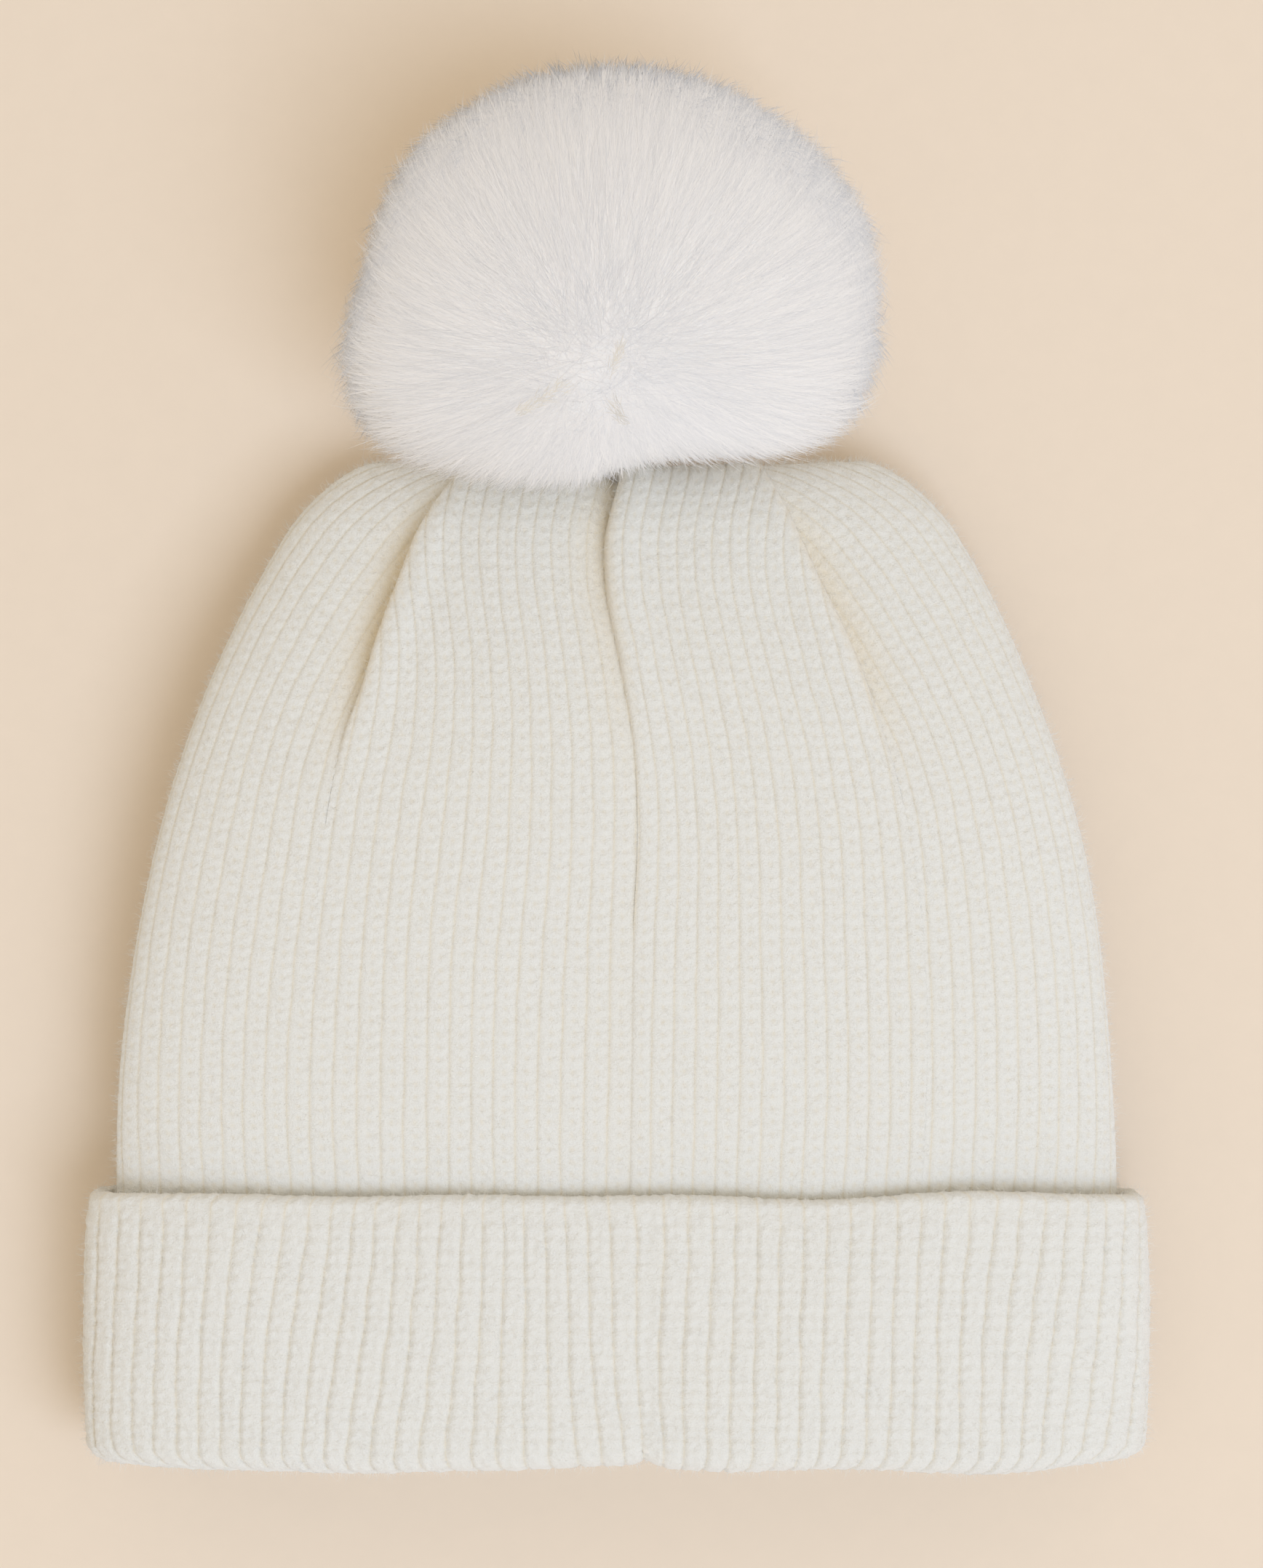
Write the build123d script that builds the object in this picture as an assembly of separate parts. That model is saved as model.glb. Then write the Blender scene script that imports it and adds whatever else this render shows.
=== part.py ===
from build123d import *
import math
import os

# A knitted pom pom beanie lying flat with its back up.
# X runs across the hat, +Y towards the pompom, +Z up off the surface it lies on. Millimetres.
# Every distance called "along" is measured from the folded lower edge of the cuff towards the crown.

# Whole hat
TOTAL_LENGTH = 300.0
CROWN_ALONG = 216.0
KNIT = 4.2
LAYER_GAP = 0.3
FLOOR_CUT = 1.0

# Turned-up cuff
CUFF_WIDTH = 230.0
CUFF_BULGE = 1.0
CUFF_ALONG = 60.0
CUFF_RISE = 38.0
CUFF_KNIT = 4.5
FOLD_RADIUS = 4.4

# Knitted body
BODY_WIDTH_IN_CUFF = 219.0
BODY_WIDTH = 216.0
BODY_RISE = 36.0
CROWN_RISE = 26.0
TAPER_FROM = 63.0
TAPER_LENGTH = 187.0
TAPER_POWER = 2.0
SETTLED_ALONG = 76.0
CROWN_ROUND = 6.0
GATHER_HOLE_RADIUS = 3.2
GATHER_RING_RADIUS = 6.5
GATHER_YARN_RADIUS = 1.0

# Sewing
SEAM_WIDTH = 5.0
SEAM_THICKNESS = 1.6
SEAM_GAP = 0.2
SEAM_OFFSET = 2.0
DART_FROM = 158.0
DART_TO = 203.0
DART_OUT_LOW = 56.0
DART_OUT_HIGH = 33.5
DART_WIDTH = 3.0
CUFF_SEAM_OFFSET = 7.0
CUFF_SEAM_DEPTH = 1.0
LABEL_SIZE = (26.0, 22.0, 0.6)
LABEL_CORNER = 2.0
LABEL_ALONG = 34.0

# Fastening inside the crown
PATCH_RADIUS = 6.8
PATCH_THICKNESS = 1.2
BUTTON_RADIUS = 5.6
BUTTON_THICKNESS = 2.4
BUTTON_RIM = 0.6
BUTTON_RIM_WIDTH = 1.3
BUTTON_GAP = 0.1
BUTTON_FILLET = 0.5
HOLE_SPACING = 3.6
HOLE_RADIUS = 0.9
STRAND_RADIUS = 0.6
THREAD_END_RADIUS = 2.9
THREAD_END_LENGTH = 0.8

# Pompom
POM_CENTRE = (-2.0, 103.0, 46.0)
POM_RADII = (59.0, 47.0, 48.0)
CORE_CENTRE = (0.0, 92.0, 45.0)
CORE_RADIUS = 24.0
BACKING = 1.2
BASE_HOLE_RADIUS = 5.0
BASE_DISC_RADIUS = 7.0
BASE_DISC_THICKNESS = 1.8
BASE_DISC_DEPTH = 2.3
GATHER_CORD_RING_RADIUS = 6.2
GATHER_CORD_RADIUS = 0.9
PILE_CHANNEL_RADIUS = 8.0
LIFT_LIMIT = 25.0
SWING_LIMIT = 20.0
CROWN_CLEARANCE = 2.0

# Shank between crown and pompom
SHANK_RADIUS = 2.5
SHANK_BALL_RADIUS = 3.0
CROWN_PIVOT_GAP = 4.6
BASE_PIVOT_GAP = 1.0

HEM_Y = -TOTAL_LENGTH / 2
CROWN_Y = HEM_Y + CROWN_ALONG
CROWN_MID_Z = CROWN_RISE / 2
CROWN_PIVOT = Vector(0, CROWN_Y + CROWN_PIVOT_GAP, CROWN_MID_Z)
CORE = Vector(*CORE_CENTRE)
SHANK_DIRECTION = (CORE - CROWN_PIVOT).normalized()
BASE_PIVOT = CORE - SHANK_DIRECTION * (CORE_RADIUS + BASE_PIVOT_GAP)
BODY_LOW_IN_CUFF = CUFF_KNIT + LAYER_GAP
BODY_HIGH_IN_CUFF = CUFF_RISE - CUFF_KNIT - LAYER_GAP


def cross_section(along, half_width, low, high):
    """A flat-topped and flat-bottomed outline with round sides, across the hat."""
    middle = (low + high) / 2
    plane = Plane(origin=(0, HEM_Y + along, middle), x_dir=(1, 0, 0), z_dir=(0, -1, 0))
    side_radius = (high - low) / 2 - 0.5
    return plane * RectangleRounded(2 * half_width, high - low, side_radius)


def body_half_width(along):
    """Half the width of the body: straight at the cuff, closing like an ellipse at the crown."""
    if along < TAPER_FROM:
        lost = (BODY_WIDTH_IN_CUFF - BODY_WIDTH) / 2 * along / TAPER_FROM
        return BODY_WIDTH_IN_CUFF / 2 - lost
    share = (along - TAPER_FROM) / TAPER_LENGTH
    return BODY_WIDTH / 2 * math.sqrt(1 - share ** TAPER_POWER)


def share_of_way(along, start, end):
    """How far a place is from start to end, from 0 to 1."""
    return min(1.0, max(0.0, (along - start) / (end - start)))


def body_height(along):
    """The height of the body's upper face: low under the cuff, full past it, thinner at the crown."""
    settled = share_of_way(along, CUFF_ALONG, SETTLED_ALONG)
    thinned = share_of_way(along, DART_FROM, CROWN_ALONG - CROWN_ROUND)
    full = BODY_HIGH_IN_CUFF + (BODY_RISE - BODY_HIGH_IN_CUFF) * settled
    return full - (BODY_RISE - CROWN_RISE) * thinned


def body_section(along, inset):
    """The body's outline at one place, drawn in by inset and rounded off at the crown."""
    settled = share_of_way(along, CUFF_ALONG, SETTLED_ALONG)
    low = BODY_LOW_IN_CUFF * (1 - settled)
    high = body_height(along)
    if inset == 0:
        low -= FLOOR_CUT * settled
    radius = CROWN_ROUND - inset
    past = max(0.0, along - (CROWN_ALONG - CROWN_ROUND))
    drawn_in = inset + radius - math.sqrt(max(0.0, radius ** 2 - past ** 2))
    return cross_section(along, body_half_width(along) - drawn_in, low + drawn_in, high - drawn_in)


def body_form(start, inset):
    """The closed form of the body, or of its hollow when inset is the knit's thickness."""
    end = CROWN_ALONG - inset
    turn = CROWN_ALONG - CROWN_ROUND
    crown_steps = [turn + (end - turn) * math.sin(math.radians(a)) for a in (0, 35, 62, 90)]
    straight_steps = [start, CUFF_ALONG, SETTLED_ALONG, 100, 125, 145, DART_FROM, 175, 192]
    sections = [body_section(along, inset) for along in straight_steps + crown_steps]
    return loft(sections, ruled=True)


def above_floor(solid):
    """The solid with everything below the surface cut off, which leaves a flat face to lie on."""
    return solid - Pos(0, 0, -50) * Box(600, 600, 100)


def crosswise_cylinder(radius, from_along, to_along, x=0.0, z=CROWN_MID_Z):
    """A cylinder along Y between two distances from the hem."""
    middle = HEM_Y + (from_along + to_along) / 2
    return Pos(x, middle, z) * Rot(90, 0, 0) * Cylinder(radius, to_along - from_along)


def make_knit_body():
    start = FOLD_RADIUS + 0.4
    shell = above_floor(body_form(start, 0)) - body_form(start - 1, KNIT)
    hole = crosswise_cylinder(GATHER_HOLE_RADIUS, CROWN_ALONG - 8, CROWN_ALONG + 2)
    return shell - hole


def make_turn_up_cuff():
    sections = []
    for along in (0, 1.2, FOLD_RADIUS, CUFF_ALONG / 2, CUFF_ALONG):
        past = max(0.0, FOLD_RADIUS - along)
        drawn_in = FOLD_RADIUS - math.sqrt(FOLD_RADIUS ** 2 - past ** 2)
        bulge = CUFF_BULGE * math.sin(math.pi * along / CUFF_ALONG)
        half_width = CUFF_WIDTH / 2 - CUFF_BULGE + bulge - drawn_in
        sections.append(cross_section(along, half_width, drawn_in - FLOOR_CUT, CUFF_RISE - drawn_in))
    outside = above_floor(loft(sections, ruled=True))
    pocket = loft([body_section(along, -LAYER_GAP) for along in (FOLD_RADIUS, CUFF_ALONG)], ruled=True)
    beyond = Pos(0, HEM_Y + CUFF_ALONG + 10, CUFF_RISE / 2) * Box(300, 20, 80)
    mouth = loft([body_section(along, KNIT) for along in (-1, FOLD_RADIUS + 1)], ruled=True)
    groove = cuff_seam_bar(SEAM_WIDTH + 2 * SEAM_GAP, SEAM_GAP)
    return outside - pocket - mouth - beyond - groove


def cuff_seam_bar(width, extra):
    """The flat bar of the cuff's seam, let into the cuff's upper face."""
    length = CUFF_ALONG - 2 * FOLD_RADIUS + 2 * extra
    centre = (CUFF_SEAM_OFFSET, HEM_Y + CUFF_ALONG / 2, CUFF_RISE - CUFF_SEAM_DEPTH / 2 - extra / 2)
    return Pos(*centre) * Box(width, length, CUFF_SEAM_DEPTH + extra)


def make_body_back_seam():
    """The seam allowance that runs up the inside of the back, following the knit."""
    low = BODY_HIGH_IN_CUFF - KNIT - SEAM_GAP
    high = BODY_RISE - KNIT - SEAM_GAP
    ends = [(FOLD_RADIUS + 3, low), (CUFF_ALONG, low), (SETTLED_ALONG, high), (DART_FROM - 6, high)]
    upper = [(HEM_Y + along, z) for along, z in ends]
    lower = [(y, z - SEAM_THICKNESS) for y, z in reversed(upper)]
    side = make_face(Plane.YZ * Polyline(*upper, *lower, close=True))
    return Pos(SEAM_OFFSET, 0, 0) * extrude(side, SEAM_WIDTH / 2, both=True)


def make_dart(side, low_z, high_z):
    """One crown dart: a straight row of stitches from the body up to the gathered crown."""
    low = Vector(side * DART_OUT_LOW, HEM_Y + DART_FROM, low_z)
    high = Vector(side * DART_OUT_HIGH, HEM_Y + DART_TO, high_z)
    run = high - low
    across = Vector(0, 0, 1).cross(run)
    plane = Plane(origin=(low + high) * 0.5, x_dir=run, z_dir=run.cross(across))
    return plane * Box(run.length, DART_WIDTH, SEAM_THICKNESS)


def make_crown_dart_seams():
    inward = KNIT + SEAM_GAP + SEAM_THICKNESS / 2
    darts = []
    for side in (-1, 0, 1):
        darts.append(make_dart(side, body_height(DART_FROM) - inward, body_height(DART_TO) - inward))
        darts.append(make_dart(side, inward, inward))
    return Compound(children=darts)


def make_crown_gather_yarn():
    ring = Rot(90, 0, 0) * Torus(GATHER_RING_RADIUS, GATHER_YARN_RADIUS)
    return Pos(0, CROWN_Y + GATHER_YARN_RADIUS + SEAM_GAP, CROWN_MID_Z) * ring


def hole_places():
    half = HOLE_SPACING / 2
    return [(x, CROWN_MID_Z + z) for x in (-half, half) for z in (-half, half)]


def pierced(solid, radius):
    """The solid with four sewing holes along Y."""
    for x, z in hole_places():
        solid -= crosswise_cylinder(radius, CROWN_ALONG - 20, CROWN_ALONG + 5, x, z)
    return solid


PATCH_END = CROWN_ALONG - KNIT - SEAM_GAP
BUTTON_END = PATCH_END - PATCH_THICKNESS - BUTTON_GAP
BUTTON_START = BUTTON_END - BUTTON_THICKNESS


def make_crown_patch():
    patch = crosswise_cylinder(PATCH_RADIUS, PATCH_END - PATCH_THICKNESS, PATCH_END)
    return pierced(patch, HOLE_RADIUS)


def make_anchor_button():
    disc = crosswise_cylinder(BUTTON_RADIUS, BUTTON_START, BUTTON_END)
    dish = crosswise_cylinder(BUTTON_RADIUS - BUTTON_RIM_WIDTH, BUTTON_START - 1, BUTTON_START + BUTTON_RIM)
    return pierced(fillet(disc.edges(), BUTTON_FILLET) - dish, HOLE_RADIUS)


def make_tie_thread():
    """Four strands through the button, two bars across it inside, one bound end outside the crown."""
    bar_along = BUTTON_START + BUTTON_RIM - STRAND_RADIUS
    end_along = CROWN_ALONG + STRAND_RADIUS
    thread = crosswise_cylinder(THREAD_END_RADIUS, end_along - THREAD_END_LENGTH, end_along)
    for x, z in hole_places():
        thread += crosswise_cylinder(STRAND_RADIUS, bar_along, end_along, x, z)
    for z in (CROWN_MID_Z - HOLE_SPACING / 2, CROWN_MID_Z + HOLE_SPACING / 2):
        bar = Rot(0, 90, 0) * Cylinder(STRAND_RADIUS, HOLE_SPACING)
        thread += Pos(0, HEM_Y + bar_along, z) * bar
        for x in (-HOLE_SPACING / 2, HOLE_SPACING / 2):
            thread += Pos(x, HEM_Y + bar_along, z) * Sphere(STRAND_RADIUS)
    return thread


def make_cuff_back_seam():
    return cuff_seam_bar(SEAM_WIDTH, 0)


def make_care_label():
    width, length, thickness = LABEL_SIZE
    top = BODY_HIGH_IN_CUFF - KNIT - SEAM_GAP - SEAM_THICKNESS - SEAM_GAP
    tab = Pos(SEAM_OFFSET, HEM_Y + LABEL_ALONG, top - thickness / 2) * Box(width, length, thickness)
    return fillet(tab.edges().filter_by(Axis.Z), LABEL_CORNER)


def make_pom_shank():
    """Wound thread with a round end in the crown's gather and another in the pompom's base."""
    middle = (CROWN_PIVOT + BASE_PIVOT) * 0.5
    plane = Plane(origin=middle, z_dir=SHANK_DIRECTION)
    length = (BASE_PIVOT - CROWN_PIVOT).length
    shank = plane * Cylinder(SHANK_RADIUS, length)
    for pivot in (CROWN_PIVOT, BASE_PIVOT):
        shank += Pos(*pivot) * Sphere(SHANK_BALL_RADIUS)
    return shank


def base_plane(distance):
    """A plane square to the shank, a distance from the pompom's core centre towards the crown."""
    return Plane(origin=CORE - SHANK_DIRECTION * distance, z_dir=SHANK_DIRECTION)


def make_pom_base_disc():
    middle = CORE_RADIUS - BACKING - BASE_DISC_DEPTH
    disc = base_plane(middle) * Cylinder(BASE_DISC_RADIUS, BASE_DISC_THICKNESS)
    return fillet(disc.edges(), BUTTON_FILLET)


def make_pom_backing():
    shell = Sphere(CORE_RADIUS) - Sphere(CORE_RADIUS - BACKING)
    return Pos(*CORE) * shell - base_plane(CORE_RADIUS) * Cylinder(BASE_HOLE_RADIUS, 10)


def make_pom_stuffing():
    ball = Pos(*CORE) * Sphere(CORE_RADIUS - BACKING - LAYER_GAP)
    disc_room = CORE_RADIUS - BACKING - BASE_DISC_DEPTH - BASE_DISC_THICKNESS / 2 - SEAM_GAP
    return ball - base_plane(disc_room + CORE_RADIUS) * Box(3 * CORE_RADIUS, 3 * CORE_RADIUS, 2 * CORE_RADIUS)


def make_pom_gather_cord():
    return base_plane(CORE_RADIUS + SEAM_GAP) * Torus(GATHER_CORD_RING_RADIUS, GATHER_CORD_RADIUS)


def room_to_lift():
    """The space that the crown sweeps through the fur as the pompom lifts, across the whole hat."""
    top_edge = Vector(0, CROWN_Y + CROWN_CLEARANCE, CROWN_RISE + CROWN_CLEARANCE)
    turned = (top_edge - BASE_PIVOT).rotate(Axis.X, -LIFT_LIMIT) + BASE_PIVOT
    crown_slope = math.atan((BODY_RISE - CROWN_RISE) / (CROWN_ALONG - CROWN_ROUND - DART_FROM))
    far_y = CROWN_Y - 30
    far_z = turned.Z + (turned.Y - far_y) * math.tan(math.radians(LIFT_LIMIT) + crown_slope)
    points = [(top_edge.Y, -10), (top_edge.Y, top_edge.Z), (turned.Y, turned.Z), (far_y, far_z), (far_y, -10)]
    return extrude(make_face(Plane.YZ * Polyline(*points, close=True)), 100, both=True)


def room_to_swing():
    """The wedge-shaped space that the crown's corners need as the pompom swings to either side."""
    tip_y = CROWN_Y + CROWN_CLEARANCE
    reach = 80.0
    wing_y = tip_y + reach * math.tan(math.radians(SWING_LIMIT + 3))
    points = [(0, tip_y), (reach, wing_y), (reach, 0), (-reach, 0), (-reach, wing_y)]
    return extrude(make_face(Polyline(*points, close=True)), CROWN_RISE + 8)


def make_pom_pile():
    """The fur: a flattened ball over the crown's edge, hollow for the core, its shank and the crown."""
    pile = Pos(*POM_CENTRE) * scale(Sphere(1), by=POM_RADII)
    pile -= Pos(*CORE) * Sphere(CORE_RADIUS + SEAM_GAP)
    pile -= base_plane(CORE_RADIUS + 10) * Cylinder(PILE_CHANNEL_RADIUS, 40)
    return above_floor(pile) - room_to_lift() - room_to_swing()


MAKERS = {
    "knit_body": make_knit_body,
    "turn_up_cuff": make_turn_up_cuff,
    "body_back_seam": make_body_back_seam,
    "cuff_back_seam": make_cuff_back_seam,
    "crown_dart_seams": make_crown_dart_seams,
    "crown_gather_yarn": make_crown_gather_yarn,
    "crown_patch": make_crown_patch,
    "anchor_button": make_anchor_button,
    "tie_thread": make_tie_thread,
    "care_label": make_care_label,
    "pom_shank": make_pom_shank,
    "pom_base_disc": make_pom_base_disc,
    "pom_backing": make_pom_backing,
    "pom_stuffing": make_pom_stuffing,
    "pom_gather_cord": make_pom_gather_cord,
    "pom_pile": make_pom_pile,
}

os.makedirs("parts", exist_ok=True)
for name, make in MAKERS.items():
    export_step(make(), f"parts/{name}.step")
print("crown pivot", CROWN_PIVOT)
print("pompom base pivot", BASE_PIVOT)
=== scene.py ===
import math

import bpy
import numpy as np
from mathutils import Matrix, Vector


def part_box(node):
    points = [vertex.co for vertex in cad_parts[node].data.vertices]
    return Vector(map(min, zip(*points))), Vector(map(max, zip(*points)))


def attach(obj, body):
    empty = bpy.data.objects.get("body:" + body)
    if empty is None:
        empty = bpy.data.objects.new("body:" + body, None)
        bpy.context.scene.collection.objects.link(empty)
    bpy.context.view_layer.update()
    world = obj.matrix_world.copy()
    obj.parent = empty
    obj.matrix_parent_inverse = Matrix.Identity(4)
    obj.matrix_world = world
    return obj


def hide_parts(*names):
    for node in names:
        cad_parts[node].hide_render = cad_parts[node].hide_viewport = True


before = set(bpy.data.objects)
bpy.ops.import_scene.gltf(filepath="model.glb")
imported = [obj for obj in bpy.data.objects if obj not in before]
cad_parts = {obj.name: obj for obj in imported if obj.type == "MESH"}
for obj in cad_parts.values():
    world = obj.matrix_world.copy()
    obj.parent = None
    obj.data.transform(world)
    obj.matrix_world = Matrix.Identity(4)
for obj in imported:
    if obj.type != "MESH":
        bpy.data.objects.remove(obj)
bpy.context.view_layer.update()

# A knitted pom pom beanie lying flat on its front, seen from straight above.
# Lengths are in millimetres until a mesh is made. "Along" is the distance from the cuff's fold
# towards the crown, and "round" is the distance round the hat from its left-hand edge, over the back.
MM = 0.001
RANDOM = np.random.default_rng(7)


def box_mm(node):
    low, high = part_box(node)
    return np.array(low) / MM, np.array(high) / MM


CUFF_LOW, CUFF_HIGH = box_mm("turn_up_cuff")
BODY_HIGH = box_mm("knit_body")[1]
POM_HIGH = box_mm("pom_pile")[1]
CORE_LOW, CORE_HIGH = box_mm("pom_backing")
LABEL_LOW, LABEL_HIGH = box_mm("care_label")
HEM_Y = CUFF_LOW[1]
CUFF_ALONG = CUFF_HIGH[1] - HEM_Y
CROWN_ALONG = BODY_HIGH[1] - HEM_Y

# Knit
RIBS_PER_QUARTER = 24
STITCH_ROW = 2.75
RIB_DEPTH = 0.36
STITCH_HOLE_DEPTH = 0.06
STITCH_LEG_DEPTH = 0.035
KNIT_GLOW = 0.35

# Body outline and folds
BODY_HALF_WIDTH = BODY_HIGH[0] - 1.4
TAPER_FROM = 63.0
TAPER_LENGTH = 187.0
TAPER_POWER = 2.0
SECTION_POWER = 2.7
CROWN_ROUND = 16.0
CROWN_MID_Z = 13.0
CROWN_LIFT = 1.5
BODY_START = 44.0
FOLD_START = 142.0
FOLD_FULL = 184.0
DART_DEPTH = 4.6
DART_OUT_HIGH = 33.5
SOFT_DART = 0.72
DART_WIDTH = 11.0
SEAM_DEPTH_LOW = 0.30
SEAM_DEPTH_HIGH = 3.6
SEAM_WIDTH = 4.5
LIP = 0.30
# How far the painted shade beside a fold spreads, on the panel that lies under and on the one that lies over
FOLD_SHADE_UNDER = 5.0
FOLD_SHADE_OVER = 1.6
UNDERLAP = 3.0
PITCH_INNER_AT_CROWN = 3.9
PITCH_OUTER_AT_CROWN = 5.1

# Each curve is a list of (distance along, height of the top or underside, or place across)
BODY_TOP = [
    (0, 32), (60, 33.4), (78, 36.5), (105, 39.5), (140, 40.5), (170, 38), (192, 33.5), (208, 29), (216, 27),
]
BODY_BOTTOM = [(0, 5), (58, 4.6), (74, 1.4), (90, 0.9), (216, 0.9)]
BACK_SEAM = [
    (0, 2.8), (60, 2.8), (88, 3.3), (114, 3.6), (139, 4.6), (155, 3.8), (173, 0.9), (192, -2.4), (200, -2.6),
    (216, 0.4),
]
LEFT_FOLD = [
    (0, -62), (146, -60.5), (159, -58), (168, -55), (180, -51.6), (191, -47.6), (203, -42.8), (216, -34),
]
RIGHT_FOLD = [(0, 63), (146, 60.4), (159, 57), (178, 50.6), (191, 44.4), (208, 36.4), (216, 32)]

# Cuff
CUFF_HALF_WIDTH = CUFF_HIGH[0] - 1.0
CUFF_RISE = CUFF_HIGH[2]
CUFF_POWER = 3.4
CUFF_KNIT = 4.4
CUFF_RIBS = 100
CUFF_RIB_DEPTH = 0.68
CUFF_RIB_PITCH = 5.0
CUFF_COLUMNS = 1150
CUFF_STEP = 0.75
CUFF_SEAM_X = 6.8
CUFF_INSIDE = 44.0
# (place across, how far the ribs there lean, as a share of their length)
CUFF_LEAN = [
    (-118, 0.02), (-95, 0.03), (-70, 0.12), (-45, 0.12), (-20, 0.0), (0, -0.06), (12, 0.0), (40, 0.03),
    (75, 0.06), (100, 0.12), (118, 0.04),
]

# Loose fibres
FIBRES_PER_PIECE = 21000

# Pompom
WHIRL = np.array([-3.0, 74.0, 88.0])
FUR_PIECES = 10
STRANDS_PER_PIECE = 12500
UNDERCOAT_REACH = 0.88
# (start, heading in degrees, length) of each parting
PARTINGS = [((-21.0, 72.7), 20, 11.5), ((-1.0, 80.5), 62, 6.0), ((2.9, 71.3), 135, 4.5)]
ROOTS_PER_MM = 9
FUR_GLOW = 1.6
# (angle from +X in degrees, the fur's reach from its middle), seen from above
POM_OUTLINE = [
    (0, 58.5), (12, 57.0), (26, 54.0), (43, 51), (65, 48), (90, 46.3), (108, 46.6), (126, 47), (148, 49.5),
    (165, 50.5), (181, 52.5), (195, 58), (207, 61), (217, 59.5), (231, 52.5), (245, 48), (263, 43.5),
    (276, 39.5), (299, 42.5), (312, 50), (322, 57), (330, 60), (342, 59.5), (354, 59), (360, 58.5),
]

# Stage and light, in metres and watts
FLOOR_HALF_SIZE = 6.0
PAPER_COLOUR = (0.845, 0.735, 0.605)
ROOM_COLOUR = (0.74, 0.655, 0.545)
KEY_POSITION = (1.1, -1.15, 2.5)
KEY_SIZE = 1.8
KEY_POWER = 46.0
KEY_COLOUR = (0.64, 0.77, 1.0)

# Colours
KNIT_COLOUR = (0.865, 0.875, 0.84)
# Painted warm shade in the knit's grooves and stitch holes
GROOVE_SHADE_COLOUR = (0.80, 0.725, 0.55)
# Painted warm shade in the folds of the crown
FOLD_SHADE_COLOUR = (0.86, 0.74, 0.52)
FUR_WHITES = [(0.85, 0.835, 0.815), (0.81, 0.797, 0.785), (0.86, 0.84, 0.81)]

# Camera
CAMERA_HEIGHT = 0.963
CAMERA_LENS = 100.0
CAMERA_X = 3.3
CAMERA_Y = -2.3


def smooth(value, start, end):
    """0 before start, 1 after end, and an even rise between."""
    share = np.clip((value - start) / (end - start), 0, 1)
    return share * share * (3 - 2 * share)


def curve(value, points):
    """A smooth curve through a few chosen points."""
    xs, ys = (np.array(column, float) for column in zip(*points))
    slopes = np.gradient(ys, xs)
    value = np.clip(value, xs[0], xs[-1])
    index = np.clip(np.searchsorted(xs, value) - 1, 0, len(xs) - 2)
    gap = xs[index + 1] - xs[index]
    t = (value - xs[index]) / gap
    start = (1 + 2 * t) * (1 - t) ** 2 * ys[index] + t * (1 - t) ** 2 * gap * slopes[index]
    end = t * t * (3 - 2 * t) * ys[index + 1] + t * t * (t - 1) * gap * slopes[index + 1]
    return start + end


def wander(x, y, wavelength, seed):
    """A gentle random field between about -1 and 1, made of a few waves in random directions."""
    waves = np.random.default_rng(seed)
    total = 0
    for _ in range(6):
        angle = waves.uniform(0, 2 * math.pi)
        phase = waves.uniform(0, 2 * math.pi)
        stretch = waves.uniform(0.7, 1.6)
        distance = x * math.cos(angle) + y * math.sin(angle)
        total = total + np.sin(2 * math.pi * distance / (wavelength * stretch) + phase)
    return total / 3


def unit(vectors):
    return vectors / np.maximum(np.linalg.norm(vectors, axis=-1, keepdims=True), 1e-9)


# ---------------------------------------------------------------- meshes


def make_object(name, points, faces, material, uv=None, smooth_shading=True):
    """A mesh object from points in millimetres, faces of one size, and a UV pair for each point."""
    mesh = bpy.data.meshes.new(name)
    points = np.asarray(points, np.float32).reshape(-1, 3) * MM
    faces = np.asarray(faces, np.int32)
    mesh.vertices.add(len(points))
    mesh.vertices.foreach_set("co", points.ravel())
    mesh.loops.add(faces.size)
    mesh.loops.foreach_set("vertex_index", faces.ravel())
    mesh.polygons.add(len(faces))
    mesh.polygons.foreach_set("loop_start", np.arange(0, faces.size, faces.shape[1], dtype=np.int32))
    mesh.polygons.foreach_set("use_smooth", np.full(len(faces), smooth_shading))
    if uv is not None:
        layer = mesh.uv_layers.new(name="fabric")
        layer.data.foreach_set("uv", np.asarray(uv, np.float32).reshape(-1, 2)[faces.ravel()].ravel())
    mesh.update(calc_edges=True)
    mesh.validate()
    mesh.materials.append(material)
    made = bpy.data.objects.new(name, mesh)
    bpy.context.collection.objects.link(made)
    return made


def grid_faces(rows, columns, first=0, closed=False):
    """The four-sided faces of a grid of points, whose columns may close into a loop."""
    across = columns if closed else columns - 1
    row, column = np.meshgrid(np.arange(rows - 1), np.arange(across), indexing="ij")
    after = (column + 1) % columns
    corners = [
        row * columns + column,
        row * columns + after,
        (row + 1) * columns + after,
        (row + 1) * columns + column,
    ]
    return first + np.stack(corners, -1).reshape(-1, 4)


def grid_normals(points, closed=False):
    """The outward normals of a grid whose columns go round the hat and whose rows go along it."""
    if closed:
        across = np.roll(points, -1, 1) - np.roll(points, 1, 1)
    else:
        across = np.gradient(points, axis=1)
    return unit(np.cross(across, np.gradient(points, axis=0)))


# ---------------------------------------------------------------- knitted body


def soften_shading(piece):
    """Light comes through thick woolly knit, so its slopes are shaded as if they faced further up."""
    mesh = piece.data
    normals = np.empty(len(mesh.vertices) * 3, np.float32)
    mesh.vertex_normals.foreach_get("vector", normals)
    normals = normals.reshape(-1, 3)
    glow = KNIT_GLOW * np.clip(normals[:, 2:] + 0.4, 0, 1)
    softened = unit(normals + glow * np.array([0.0, 0.0, 1.0]))
    mesh.normals_split_custom_set_from_vertices(softened.astype(np.float32))


def body_half_width(along):
    share = np.clip((along - TAPER_FROM) / TAPER_LENGTH, 0, 1)
    return BODY_HALF_WIDTH * np.sqrt(1 - share ** TAPER_POWER)


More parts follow.
